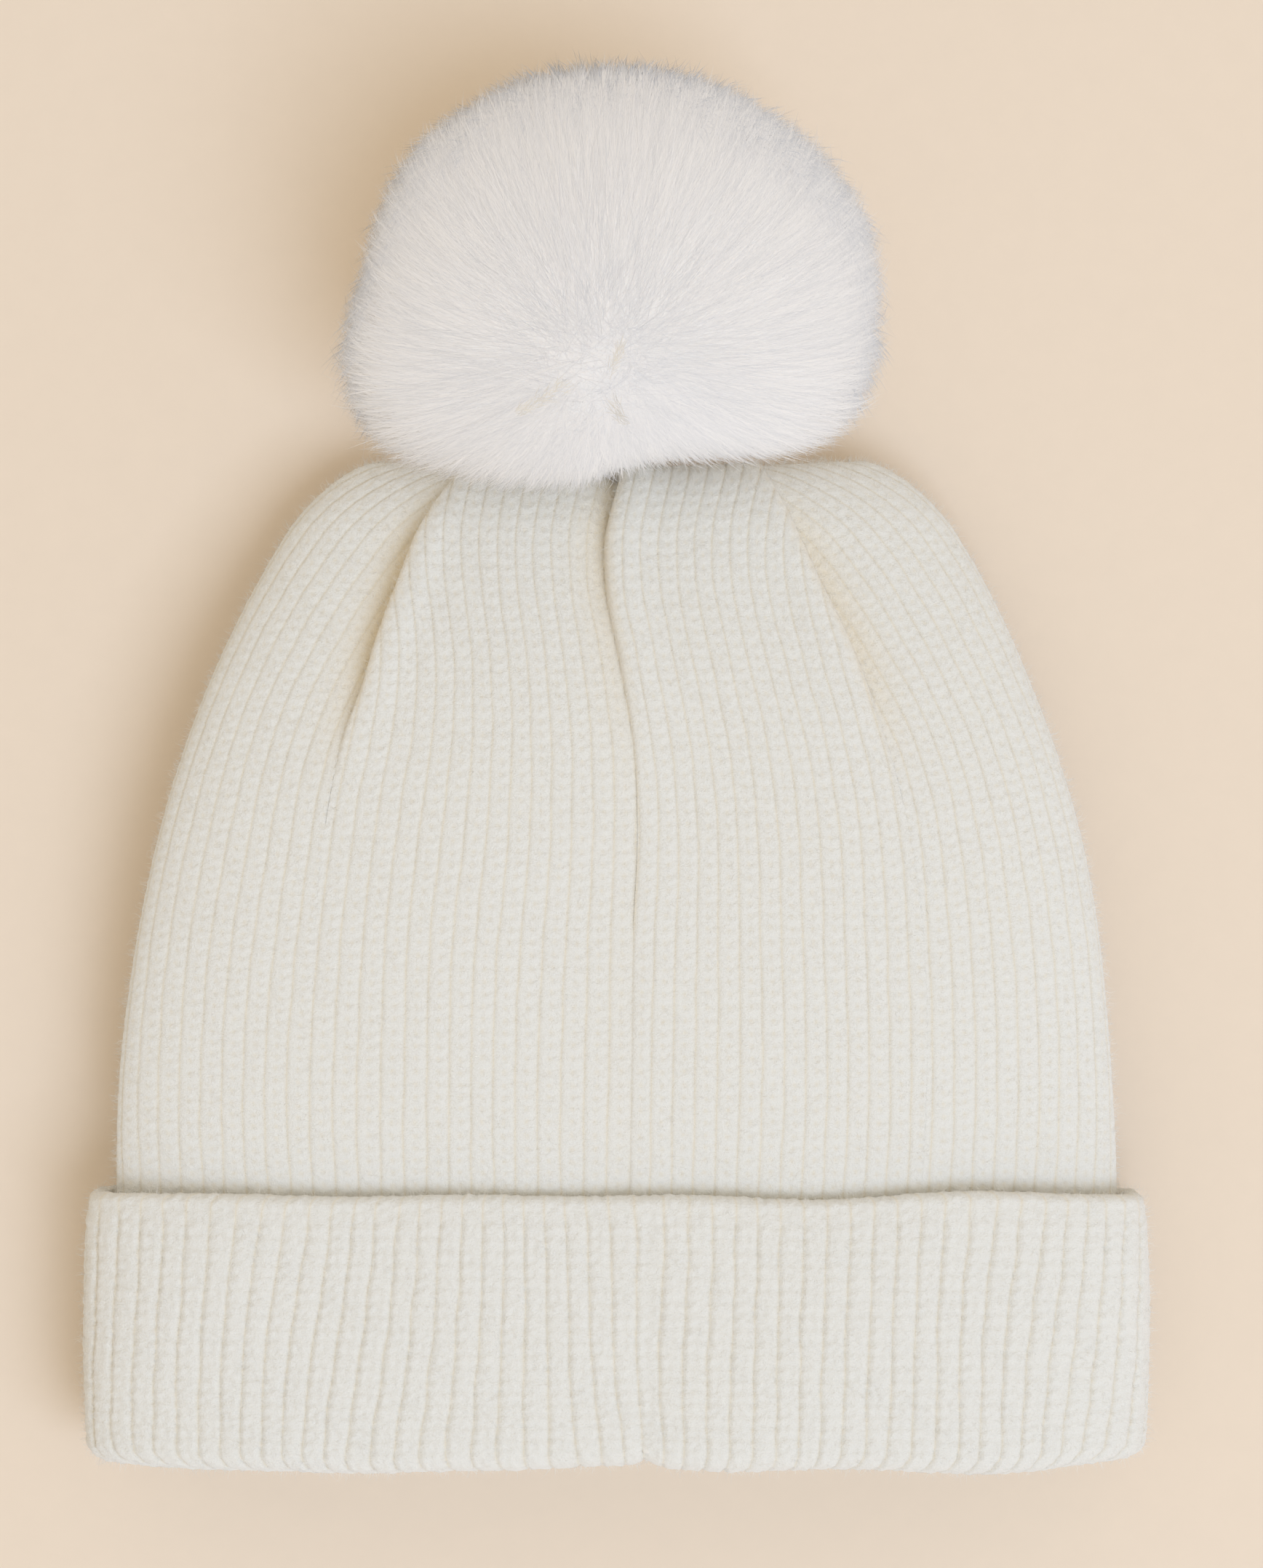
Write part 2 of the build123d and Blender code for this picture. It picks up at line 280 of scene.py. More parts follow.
def body_rows(step):
    """Distances along the body, closer together where the crown turns over."""
    turn = CROWN_ALONG + 1 - CROWN_ROUND
    straight = np.linspace(BODY_START, turn, int((turn - BODY_START) / step), endpoint=False)
    angles = np.linspace(0, math.pi / 2, int(CROWN_ROUND * 1.6 / step))
    return np.concatenate([straight, turn + CROWN_ROUND * np.sin(angles)])


def body_loops(along, samples=720):
    """For each distance along, the outline of the body's section: x, z and the distance round it."""
    turn = CROWN_ALONG + 1 - CROWN_ROUND
    closing = np.sqrt(np.clip(1 - (np.maximum(along - turn, 0) / CROWN_ROUND) ** 2, 0, 1))
    top, bottom = curve(along, BODY_TOP), curve(along, BODY_BOTTOM)
    middle = (top + bottom) / 2 + (CROWN_MID_Z - (top + bottom) / 2) * smooth(along, 170, CROWN_ALONG)
    up, down = (top - middle) * closing, (middle - bottom) * closing
    angle = math.pi - np.linspace(0, 2 * math.pi, samples + 1)
    cosine, sine = np.cos(angle), np.sin(angle)
    half_width = (body_half_width(along) * (0.86 + 0.14 * closing))[:, None]
    x = half_width * (np.sign(cosine) * np.abs(cosine) ** (2 / SECTION_POWER))[None, :]
    x = x + 0.9 * smooth(along, 60, 200)[:, None]
    height = np.where(sine >= 0, up[:, None], down[:, None])
    z = middle[:, None] + height * (np.sign(sine) * np.abs(sine) ** (2 / SECTION_POWER))[None, :]
    steps = np.hypot(np.diff(x, axis=1), np.diff(z, axis=1))
    distance = np.concatenate([np.zeros((len(along), 1)), np.cumsum(steps, 1)], 1)
    return x, z, distance


def round_at(x, distance, wanted_x, back):
    """The distance round the hat at which the back or the front face has a wanted x."""
    half = x.shape[1] // 2
    found = np.empty(len(x))
    for row in range(len(x)):
        if back:
            found[row] = np.interp(wanted_x[row], x[row, : half + 1], distance[row, : half + 1])
        else:
            found[row] = np.interp(wanted_x[row], x[row, half:][::-1], distance[row, half:][::-1])
    return found


def body_edges(along, x, distance):
    """Where each panel of the crown starts, round the hat, and where its two side edges are."""
    half = x.shape[1] // 2
    seam = curve(along, BACK_SEAM)
    left, right = curve(along, LEFT_FOLD), curve(along, RIGHT_FOLD)
    return {
        "left_edge": distance[:, 0],
        "back_left": round_at(x, distance, left, True),
        "back_seam": round_at(x, distance, seam, True),
        "back_right": round_at(x, distance, right, True),
        "right_edge": distance[:, half],
        "front_right": round_at(x, distance, right, False),
        "front_middle": round_at(x, distance, 0 * seam, False),
        "front_left": round_at(x, distance, left, False),
        "left_again": distance[:, -1],
    }


def rib_number(places, along, pitch, centre, edge, outer):
    """Which rib a place is on, counted from the hat's side edge (0) to the middle of a face (24)."""
    grown = smooth(along, FOLD_START, CROWN_ALONG)
    if outer:
        return np.abs(places - edge) / (pitch + (PITCH_OUTER_AT_CROWN - pitch) * grown)
    return RIBS_PER_QUARTER - np.abs(places - centre) / (pitch + (PITCH_INNER_AT_CROWN - pitch) * grown)


def knit_height(rib, row, hole_depth=STITCH_HOLE_DEPTH, rib_depth=RIB_DEPTH):
    """How far the rib's face, its stitch holes and the legs of its stitches stand off the cloth."""
    across = np.abs(2 * (rib % 1) - 1)
    down = row % 1 - 0.5
    face = rib_depth * (1 - across ** 6) - rib_depth * 0.5
    hole = np.exp(-((across / 0.18) ** 2) - (down / 0.2) ** 2)
    legs = np.cos(2 * math.pi * (row - 0.5 * across)) * (1 - across ** 4)
    return face - hole_depth * hole + STITCH_LEG_DEPTH * legs


def fold_at(along, kind):
    """How deep the fold at a panel's edge is at each distance along."""
    if "dart" in kind:
        deepest = DART_DEPTH * (SOFT_DART if kind == "soft_dart" else 1.0)
        return deepest * smooth(along, FOLD_START, FOLD_FULL) * (1 - 0.8 * smooth(along, 196, CROWN_ALONG))
    if kind == "seam":
        return SEAM_DEPTH_LOW + (SEAM_DEPTH_HIGH - SEAM_DEPTH_LOW) * smooth(along, 140, 208)
    return 0 * along


def body_panel(along, loops, sides, centre, edge, pitch, outer, step):
    """One panel of the crown and the ribs below it: its points, its rib and row numbers, its normals and its
    painted fold shade.

    sides holds, for the panel's first and last edge, where the edge is, its kind of fold and whether it
    lies under its neighbour."""
    x, z, distance = loops
    (start, start_kind, start_under), (end, end_kind, end_under) = sides
    hidden_start = (0.4 + UNDERLAP * fold_at(along, start_kind) / DART_DEPTH) * start_under
    hidden_end = (0.4 + UNDERLAP * fold_at(along, end_kind) / DART_DEPTH) * end_under
    first, last = start - hidden_start, end + hidden_end
    columns = int((last - first).max() / step) + 2
    places = first[:, None] + (last - first)[:, None] * np.linspace(0, 1, columns)[None, :]
    wrapped = places % distance[:, -1:]
    px, pz = np.empty_like(places), np.empty_like(places)
    for row in range(len(along)):
        px[row] = np.interp(wrapped[row], distance[row], x[row])
        pz[row] = np.interp(wrapped[row], distance[row], z[row])
    width = np.maximum(body_half_width(along), 1)[:, None]
    lift = CROWN_LIFT * smooth(along, 165, CROWN_ALONG)[:, None] * np.clip(np.abs(px) / width, 0, 1) ** 2
    along_grid = np.repeat(along[:, None], columns, 1)
    py = HEM_Y + along_grid + lift
    points = np.stack([px, py, pz], -1)
    normals = grid_normals(points)

    rib = rib_number(places, along_grid, pitch(places), centre[:, None], edge[:, None], outer)
    rib = rib + 0.05 * wander(px, py, 38, 3) + 0.025 * wander(px, py, 9, 4)
    slant = np.gradient(body_half_width(along), along)[:, None] * (0.75 if outer else 0.0)
    row_number = (along_grid - slant * np.abs(places - edge[:, None])) / STITCH_ROW
    row_number = row_number + 0.13 * wander(px, py, 11, 7)
    height = knit_height(rib, row_number) + 0.35 * wander(px, py, 70, 5) + 0.05 * wander(px, py, 3.2, 6)
    # Painted shade: a warmer, darker colour beside each dart and seam, deepest where the fold is deepest and
    # fading away from it.
    shade = np.zeros_like(height)

    for place, kind, under in ((start, start_kind, start_under), (end, end_kind, end_under)):
        depth = fold_at(along, kind)[:, None]
        reach = DART_WIDTH if "dart" in kind else SEAM_WIDTH
        away = np.abs(places - place[:, None])
        spread = FOLD_SHADE_UNDER if under else FOLD_SHADE_OVER
        shade = shade + np.clip(depth / DART_DEPTH, 0, 1) * np.exp(-((away / spread) ** 1.5))
        if under:
            beyond = (places < start[:, None]) | (places > end[:, None])
            hidden = depth * 0.75 + 0.2
            height = height - np.where(beyond & (away < 6), hidden, depth * np.exp(-((away / reach) ** 1.3)))
        else:
            lip = LIP * depth * np.exp(-(((away - 4.5) / 4) ** 2))
            curl = 0.45 * depth * np.clip(1 - away / 2.2, 0, 1) ** 2
            curl = curl + 0.6 * depth * np.clip(1 - away / 0.9, 0, 1) ** 2
            height = height + lip - curl
    points = points + normals * height[..., None]
    points[..., 2] = np.maximum(points[..., 2], 0.15)
    return points, np.stack([rib, row_number], -1), normals, shade


def make_body(material):
    """The hat's body: two middle panels on the back, a panel round each side, and the front."""
    made, samples = [], []
    plans = {
        "knit_body_back_left": ("back_left", "back_seam", "dart", "seam", False, True, False, 0.42),
        "knit_body_back_right": ("back_seam", "back_right", "seam", "soft_dart", False, False, False, 0.42),
        "knit_body_right_side": ("back_right", "front_right", "soft_dart", "dart", True, True, True, 0.45),
        "knit_body_left_side": ("front_left", "back_left", "dart", "dart", True, True, True, 0.45),
        "knit_body_front_right": ("front_right", "front_middle", "dart", "plain", False, False, False, 0.8),
        "knit_body_front_left": ("front_middle", "front_left", "plain", "dart", False, False, False, 0.8),
    }
    for name, (first, last, first_kind, last_kind, first_under, last_under, outer, step) in plans.items():
        along = body_rows(step * 1.25)
        loops = body_loops(along)
        e = body_edges(along, loops[0], loops[2])
        start, end = e[first], e[last]
        if first == "front_left":
            start = start - e["left_again"]
        right = "right" in name
        left = "left_again" if name == "knit_body_front_left" else "left_edge"
        edge = e["right_edge" if right else left]
        centre = e["back_seam" if "back" in name else "front_middle"]
        back_quarter = np.abs(e["back_seam"] - e["right_edge" if right else "left_edge"])
        front_quarter = np.abs(e["front_middle"] - e["right_edge" if right else "left_again"])
        back_pitch = back_quarter[:, None] / RIBS_PER_QUARTER
        front_pitch = front_quarter[:, None] / RIBS_PER_QUARTER

        def pitch(places):
            on_back = places < edge[:, None] if right else places > edge[:, None]
            if "front" in name:
                return front_pitch
            return np.where(on_back, back_pitch, front_pitch) if outer else back_pitch

        sides = (start, first_kind, first_under), (end, last_kind, last_under)
        points, uv, normals, shade = body_panel(along, loops, sides, centre, edge, pitch, outer, step)
        faces = grid_faces(points.shape[0], points.shape[1])
        panel = make_object(name, points, faces, material, uv)
        # The painted fold shade, read by the knit's colour
        fold_shade = panel.data.attributes.new("fold_shade", "FLOAT", "POINT")
        fold_shade.data.foreach_set("value", shade.ravel().astype(np.float32))
        soften_shading(panel)
        made.append(panel)
        if "front" not in name:
            samples.append((points.reshape(-1, 3), normals.reshape(-1, 3)))
    return made, samples


# ---------------------------------------------------------------- turned-up cuff


def cuff_profile(step):
    """The cuff's section from its free edge's inner side, over the edge, down, round the fold and inside."""
    edge_radius = CUFF_KNIT / 2
    fold_radius = CUFF_KNIT + 0.3
    stretches = [
        [(CUFF_ALONG - 9, CUFF_KNIT), (CUFF_ALONG - edge_radius, CUFF_KNIT)],
        [
            (CUFF_ALONG - edge_radius + edge_radius * math.sin(a), edge_radius + edge_radius * math.cos(a))
            for a in np.linspace(0, math.pi, 9)
        ],
        [(CUFF_ALONG - edge_radius, 0), (fold_radius, 0)],
        [
            (fold_radius - fold_radius * math.sin(a), fold_radius - fold_radius * math.cos(a))
            for a in np.linspace(0, math.pi, 15)
        ],
        [(fold_radius, 2 * fold_radius), (CUFF_INSIDE, 2 * fold_radius + 0.4)],
    ]
    corners = np.array([point for stretch in stretches for point in stretch], float)
    lengths = np.concatenate([[0], np.cumsum(np.hypot(*np.diff(corners, axis=0).T))])
    keep = np.concatenate([[True], np.diff(lengths) > 1e-6])
    corners, lengths = corners[keep], lengths[keep]
    places = np.linspace(0, lengths[-1], int(lengths[-1] / step))
    return np.interp(places, lengths, corners[:, 0]), np.interp(places, lengths, corners[:, 1]), places


def cuff_loop(inset, columns):
    """The cuff's outline across the hat, drawn in by inset, with its points evenly spaced."""
    angle = math.pi - np.linspace(0, 2 * math.pi, 4001)
    rise = CUFF_RISE / 2
    x = (CUFF_HALF_WIDTH - inset) * np.sign(np.cos(angle)) * np.abs(np.cos(angle)) ** (2 / CUFF_POWER)
    z = rise + (rise - inset) * np.sign(np.sin(angle)) * np.abs(np.sin(angle)) ** (2 / CUFF_POWER)
    lengths = np.concatenate([[0], np.cumsum(np.hypot(np.diff(x), np.diff(z)))])
    places = np.linspace(0, lengths[-1], columns, endpoint=False)
    return np.interp(places, lengths, x), np.interp(places, lengths, z)


def make_cuff(material):
    """The turned-up cuff with its ribs, its seam and the stretch that goes up inside the hat."""
    columns = CUFF_COLUMNS
    along, inset, places = cuff_profile(CUFF_STEP)
    points = np.empty((len(along), columns, 3))
    for row in range(len(along)):
        px, pz = cuff_loop(inset[row], columns)
        points[row, :, 0], points[row, :, 2] = px, pz
        points[row, :, 1] = HEM_Y + along[row]
    back = points[..., 2] > CUFF_RISE / 2
    near_fold = 1 - smooth(points[..., 1] - HEM_Y, 0, 25)
    near_edge = smooth(points[..., 1] - HEM_Y, 35, CUFF_ALONG)
    x = points[..., 0]
    hem_wave = 1.6 + 0.5 * wander(x, 0 * x, 90, 11) + 0.3 * wander(x, 0 * x, 26, 12)
    hem_wave = hem_wave + 0.8 * np.exp(-(((x - CUFF_SEAM_X + 1) / 2.6) ** 2)) + 1.2 * smooth(x, 80, 112)
    points[..., 1] += near_fold * hem_wave + near_edge * 0.6 * wander(x, 0 * x, 60, 13)
    normals = -grid_normals(points, closed=True)

    round_share = np.arange(columns)[None, :] / columns
    lean = curve(x, CUFF_LEAN) * back
    down = along[:, None] + 0 * x
    leaned = lean * (along[:, None] - CUFF_ALONG / 2) / CUFF_RIB_PITCH
    rib = round_share * CUFF_RIBS - leaned + 0.10 * wander(x, down, 45, 14) + 0.04 * wander(x, down, 12, 15)
    across = np.abs(2 * (rib % 1) - 1)
    outside = (inset[:, None] < CUFF_KNIT - 0.1) | (along[:, None] < CUFF_ALONG - 12)
    shown = (1 - smooth(along, CUFF_ALONG - 6.5, CUFF_ALONG - 3.5))[:, None] * outside
    across = np.clip(across + 0.08 * np.sin(2 * math.pi * places[:, None] / STITCH_ROW), 0, 1)
    height = CUFF_RIB_DEPTH * (1 - across ** 5.5) * shown - CUFF_RIB_DEPTH * 0.5 * shown
    lumps = 0.13 * wander(x, along[:, None] * 1.3 + 0 * x, 3.1, 16) + 0.06 * wander(x, down, 1.6, 17)
    puffed = 0.8 * np.sin(math.pi * np.clip(along / CUFF_ALONG, 0, 1))[:, None] * back
    seam_away = np.abs(x - CUFF_SEAM_X)
    seam_dip = -0.5 * np.exp(-((seam_away / 2.2) ** 2)) * back * shown
    height = height + lumps + puffed + seam_dip + 0.3 * wander(x, down, 40, 18)
    points = points + normals * height[..., None]
    points[..., 2] = np.maximum(points[..., 2], 0.0)
    row_number = (places / STITCH_ROW)[:, None] + 0 * x
    uv = np.stack([rib, row_number], -1)
    faces = grid_faces(len(along), columns, closed=True)
    made = make_object("turn_up_cuff_knit", points, faces, material, uv)
    return made, (points.reshape(-1, 3), normals.reshape(-1, 3))


# ---------------------------------------------------------------- fur and fuzz


def make_spikes(name, paths, widths, material, shading=None):
    """Thin tapered three-sided strands. paths is (strands, points, 3); each ends in one tip point."""
    count, rings = paths.shape[0], paths.shape[1] - 1
    along = unit(np.gradient(paths, axis=1))
    across_axis = np.eye(3)[np.argmin(np.abs(along.mean(1)), axis=1)][:, None, :]
    side = unit(np.cross(along, across_axis))
    other = np.cross(along, side)
    spin = RANDOM.uniform(0, 2 * math.pi, (count, 1, 1))
    corners = []
    for turn in (0, 2 * math.pi / 3, 4 * math.pi / 3):
        offset = (np.cos(spin + turn) * side + np.sin(spin + turn) * other)[:, :-1] * widths[:, :rings, None]
        corners.append(paths[:, :-1] + offset)
    body = np.stack(corners, 2).reshape(count, rings * 3, 3)
    points = np.concatenate([body, paths[:, -1:]], 1)
    per_strand = rings * 3 + 1
    quads = []
    for ring in range(rings - 1):
        for corner in range(3):
            after = (corner + 1) % 3
            low, high = ring * 3, (ring + 1) * 3
            quads.append([low + corner, low + after, high + after, high + corner])
    tips = [[(rings - 1) * 3 + corner, (rings - 1) * 3 + (corner + 1) % 3, rings * 3] for corner in range(3)]
    first = (np.arange(count) * per_strand)[:, None, None]
    quad_faces = (first + np.array(quads)[None]).reshape(-1, 4)
    tip_faces = (first + np.array(tips)[None]).reshape(-1, 3)
    mesh = bpy.data.meshes.new(name)
    flat = points.reshape(-1, 3).astype(np.float32) * MM
    mesh.vertices.add(len(flat))
    mesh.vertices.foreach_set("co", flat.ravel())
    corners = np.concatenate([quad_faces.ravel(), tip_faces.ravel()]).astype(np.int32)
    tip_starts = len(quad_faces) * 4 + np.arange(len(tip_faces)) * 3
    starts = np.concatenate([np.arange(len(quad_faces)) * 4, tip_starts])
    mesh.loops.add(len(corners))
    mesh.loops.foreach_set("vertex_index", corners)
    mesh.polygons.add(len(starts))
    mesh.polygons.foreach_set("loop_start", starts.astype(np.int32))
    mesh.polygons.foreach_set("use_smooth", np.ones(len(starts), bool))
    mesh.update(calc_edges=True)
    if shading is not None:
        normals = np.repeat(shading, per_strand, 0)
        mesh.normals_split_custom_set_from_vertices(normals.astype(np.float32))
    mesh.materials.append(material)
    made = bpy.data.objects.new(name, mesh)
    bpy.context.collection.objects.link(made)
    return made


POM_MIDDLE = np.array([-2.0, 103.0, 46.0])
POM_RISE = POM_HIGH[2] - POM_MIDDLE[2]


def outline_reach(directions):
    """How far the fur's outline is from its middle, seen from above, in each direction."""
    angle = np.degrees(np.arctan2(directions[..., 1], directions[..., 0])) % 360
    return curve(angle, POM_OUTLINE)


def fur_reach(directions):
    """How far the fur reaches from the pompom's middle in each direction."""
    flat = np.hypot(directions[..., 0], directions[..., 1]) / outline_reach(directions)
    over = directions[..., 1] * 60 + directions[..., 2] * 40
    lumpy = 1 + 0.010 * wander(directions[..., 0] * 60, over, 30, 21)
    return lumpy / np.sqrt(flat ** 2 + (directions[..., 2] / POM_RISE) ** 2)


def fur_normal(directions):
    """The way the fur's soft surface is shaded: on its upper half, light comes through it from above."""
    flat = outline_reach(directions)[..., None]
    reach = np.concatenate([flat, flat, np.full_like(flat, POM_RISE)], -1)
    glow = FUR_GLOW * smooth(directions[..., 2:], -0.35, 0.45)
    return unit(unit(directions / reach ** 2) + glow * np.array([0.0, 0.0, 1.0]))


def comb(directions, angle):
    """Directions turned away from the whirl, over the pompom's surface."""
    whirl = unit(WHIRL - POM_MIDDLE)
    away = directions - np.sum(directions * whirl, -1, keepdims=True) * whirl
    away = unit(away)
    tangent = unit(away - np.sum(away * directions, -1, keepdims=True) * directions)
    return unit(directions * np.cos(angle)[..., None] + tangent * np.sin(angle)[..., None])


def clear_of_hat(points):
    """Points lifted off the surface and off the crown that the fur lies over."""
    crown_top = 27.5 * (1 - smooth(points[..., 1], 63, 69)) + 0.4
    over = points[..., 1] < 69
    points[..., 2] = np.where(over, np.maximum(points[..., 2], crown_top), np.maximum(points[..., 2], 0.4))
    return points


def make_fur(materials):
    """The pompom's long strands, combed away from the whirl, in pieces of a few slightly different whites."""
    made = []
    whirl = unit(WHIRL - POM_MIDDLE)
    for piece in range(FUR_PIECES):
        directions = unit(RANDOM.normal(size=(STRANDS_PER_PIECE, 3)))
        directions = directions[~((directions[:, 1] < -0.35) & (directions[:, 2] < -0.35))]
        count = len(directions)
        off_whirl = np.arccos(np.clip(directions @ whirl, -1, 1))
        turn = (0.20 + 0.17 * smooth(off_whirl, 0.0, 0.9)) * RANDOM.uniform(0.7, 1.3, count)
        ruffled = 0.035 + 0.12 * np.exp(-((off_whirl / 0.22) ** 2))
        jitter = unit(directions + ruffled[:, None] * RANDOM.normal(size=(count, 3)))
        tip_directions = comb(jitter, turn)
        bend_directions = comb(directions, turn * 0.55)
        tufts = wander(directions[:, 0] * 60, directions[:, 1] * 60 + directions[:, 2] * 35, 4.5, 24)
        length = 0.93 + 0.075 * RANDOM.random(count) + 0.05 * RANDOM.random(count) ** 5 + 0.030 * tufts
        root = POM_MIDDLE + directions * (fur_reach(directions) * UNDERCOAT_REACH * 0.93)[:, None]
        bend = POM_MIDDLE + bend_directions * (fur_reach(bend_directions) * 0.965 * length)[:, None]
        tip = POM_MIDDLE + tip_directions * (fur_reach(tip_directions) * length)[:, None]
        paths = []
        for share in (0.0, 0.35, 0.7, 1.0):
            paths.append(root * (1 - share) ** 2 + bend * 2 * share * (1 - share) + tip * share ** 2)
        paths = clear_of_hat(np.stack(paths, 1))
        width = RANDOM.uniform(0.04, 0.095, count)[:, None] * np.array([1.0, 0.9, 0.6])[None, :]
        shading = unit(fur_normal(tip_directions) + 0.07 * RANDOM.normal(size=(count, 3)))
        material = materials[piece % len(materials)]
        made.append(make_spikes(f"pom_fur_{piece + 1}", paths, width, material, shading))
    return made


def make_partings(material):
    """Short lines near the whirl where the fur parts, coloured a creamy tan as painted shade in the gaps."""
    paths = []
    for start, heading, length in PARTINGS:
        for _ in range(int(ROOTS_PER_MM * length)):
            along = RANDOM.random() * length
            angle = math.radians(heading) + 0.012 * along
            x = start[0] + along * math.cos(angle) + RANDOM.normal() * 0.5
            y = start[1] + along * math.sin(angle) + RANDOM.normal() * 0.5
            lean = angle + RANDOM.normal() * 0.45
            steps = np.linspace(0, RANDOM.uniform(1.5, 3.2), 4)
            flat = np.stack([x + steps * math.cos(lean), y + steps * math.sin(lean)], -1) - POM_MIDDLE[:2]
            reach = outline_reach(np.concatenate([flat, 0 * flat[:, :1]], -1))
            rise = POM_MIDDLE[2] + POM_RISE * np.sqrt(np.clip(1 - (np.hypot(*flat.T) / reach) ** 2, 0, 1))
            paths.append(np.concatenate([flat + POM_MIDDLE[:2], rise[:, None] * 0.992], -1))
    paths = np.array(paths)
    widths = np.full((len(paths), 3), 0.06) * np.array([0.6, 1.0, 0.6])
    shading = np.tile([0.0, 0.0, 1.0], (len(paths), 1))
    return make_spikes("pom_fur_partings", paths, widths, material, shading)


def make_undercoat(material):
    """The dense soft mass under the strands. Its UV is the way round the whirl and the distance from it."""
    rows, columns = 200, 400
    tall = np.linspace(0.001, math.pi - 0.001, rows)
    turn = np.linspace(0, 2 * math.pi, columns, endpoint=False)
    tall, turn = np.meshgrid(tall, turn, indexing="ij")
    directions = np.stack([np.sin(tall) * np.cos(turn), np.sin(tall) * np.sin(turn), np.cos(tall)], -1)
    whirl = unit(WHIRL - POM_MIDDLE)
    side = unit(np.cross(whirl, np.array([0.0, 0.0, 1.0])))
    other = np.cross(whirl, side)
    round_whirl = np.arctan2(directions @ other, directions @ side)
    off_whirl = np.arccos(np.clip(directions @ whirl, -1, 1))
    streaks = wander(60 * np.cos(round_whirl), 60 * np.sin(round_whirl) + 6 * off_whirl, 5, 23)
    reach = fur_reach(directions) * (UNDERCOAT_REACH + 0.004 * streaks)
    points = clear_of_hat(POM_MIDDLE + directions * reach[..., None])
    uv = np.stack([round_whirl, off_whirl], -1)
    faces = grid_faces(rows, columns, closed=True)[:, ::-1]
    made = make_object("pom_fur_undercoat", points, faces, material, uv)
    made.data.normals_split_custom_set_from_vertices(fur_normal(directions).reshape(-1, 3).astype(np.float32))
    return made


def let_light_through(pieces):
    """Fine fibres are too thin and bright to shade what is under them."""
    for piece in pieces:
        piece.visible_shadow = False
        piece.visible_diffuse = False


def make_fuzz(name, points, normals, count, material, length=3.6, width=0.031):
    """Loose fibres that stand off the knit."""
    chosen = RANDOM.integers(0, len(points), count)
    start, normal = points[chosen], normals[chosen]
    drift = RANDOM.normal(size=(count, 3))
    first = unit(normal * 0.6 + 0.9 * drift / 1.7)
    second = unit(first + 0.8 * RANDOM.normal(size=(count, 3)))
    reach = length * RANDOM.uniform(0.35, 1.0, count)[:, None] ** 1.5
    middle = start + first * reach * 0.5
    end = middle + second * reach * 0.5
    paths = np.stack([start - normal * 0.1, middle, end], 1)
    paths[..., 2] = np.maximum(paths[..., 2], 0.05)
    widths = np.full((count, 2), width) * np.array([1.0, 0.7])
    return make_spikes(name, paths, widths, material, unit(normal + np.array([0.0, 0.0, 1.2])))


# ---------------------------------------------------------------- sewn and hidden parts


def make_yarn(name, path, radius, material, closed=False, stitch=0.0, flat=1.0):
    """A yarn, cord or sewn ridge along a path, with bumps every stitch and its height scaled by flat."""
    path = np.asarray(path, float)
    lengths = np.concatenate([[0], np.cumsum(np.linalg.norm(np.diff(path, axis=0), axis=1))])
    places = np.linspace(0, lengths[-1], max(int(lengths[-1] / 0.35), 12), endpoint=not closed)
    centre = np.stack([np.interp(places, lengths, path[:, axis]) for axis in range(3)], -1)
    along = unit(np.gradient(centre, axis=0))
    up = np.array([0.0, 0.0, 1.0]) + 0.01 * along[:, ::-1]
    side = unit(np.cross(along, up))
    up = np.cross(side, along)
    sides = 14
    angle = np.linspace(0, 2 * math.pi, sides, endpoint=False)[None, :]
    swell = np.ones_like(places)
    if stitch:
        swell = 1 + 0.22 * np.abs(np.sin(math.pi * places / stitch)) - 0.12
    twist = 1 + 0.10 * np.cos(3 * angle - 2 * math.pi * places[:, None] / (4 * radius))
    reach = radius * swell[:, None] * twist
    points = centre[:, None] + side[:, None] * (reach * np.cos(angle))[..., None]
    points = points + up[:, None] * (reach * np.sin(angle) * flat)[..., None]
    faces = grid_faces(len(places), sides, closed=True)
    if closed:
        last, column = (len(places) - 1) * sides, np.arange(sides)
        after = (column + 1) % sides
        faces = np.concatenate([faces, np.stack([last + column, last + after, after, column], -1)])
        return make_object(name, points, faces, material)
    ends = np.concatenate([points.reshape(-1, 3), centre[[0, -1]]])
    return close_ends(make_object(name, ends, faces, material), sides, len(places))


def close_ends(made, sides, rings):
    """Adds the small end caps of a yarn as triangles."""
    mesh = made.data
    first, last = rings * sides, rings * sides + 1
    corners = []
    for column in range(sides):
        after = (column + 1) % sides
        corners.append((after, column, first))
        corners.append(((rings - 1) * sides + column, (rings - 1) * sides + after, last))
    start, polygons = len(mesh.loops), len(mesh.polygons)
    mesh.loops.add(len(corners) * 3)
    mesh.polygons.add(len(corners))
    for index, triangle in enumerate(corners):
        for offset, vertex in enumerate(triangle):
            mesh.loops[start + index * 3 + offset].vertex_index = vertex
        mesh.polygons[polygons + index].loop_start = start + index * 3
        mesh.polygons[polygons + index].use_smooth = True
    mesh.update(calc_edges=True)
    mesh.validate()
    return made


def ring_path(centre, radius, turns=48):
    """A ring round a line in the y direction."""
    angle = np.linspace(0, 2 * math.pi, turns)
    x, z = centre[0] + radius * np.cos(angle), centre[2] + radius * np.sin(angle)
    return np.stack([x, centre[1] + 0 * angle, z], -1)


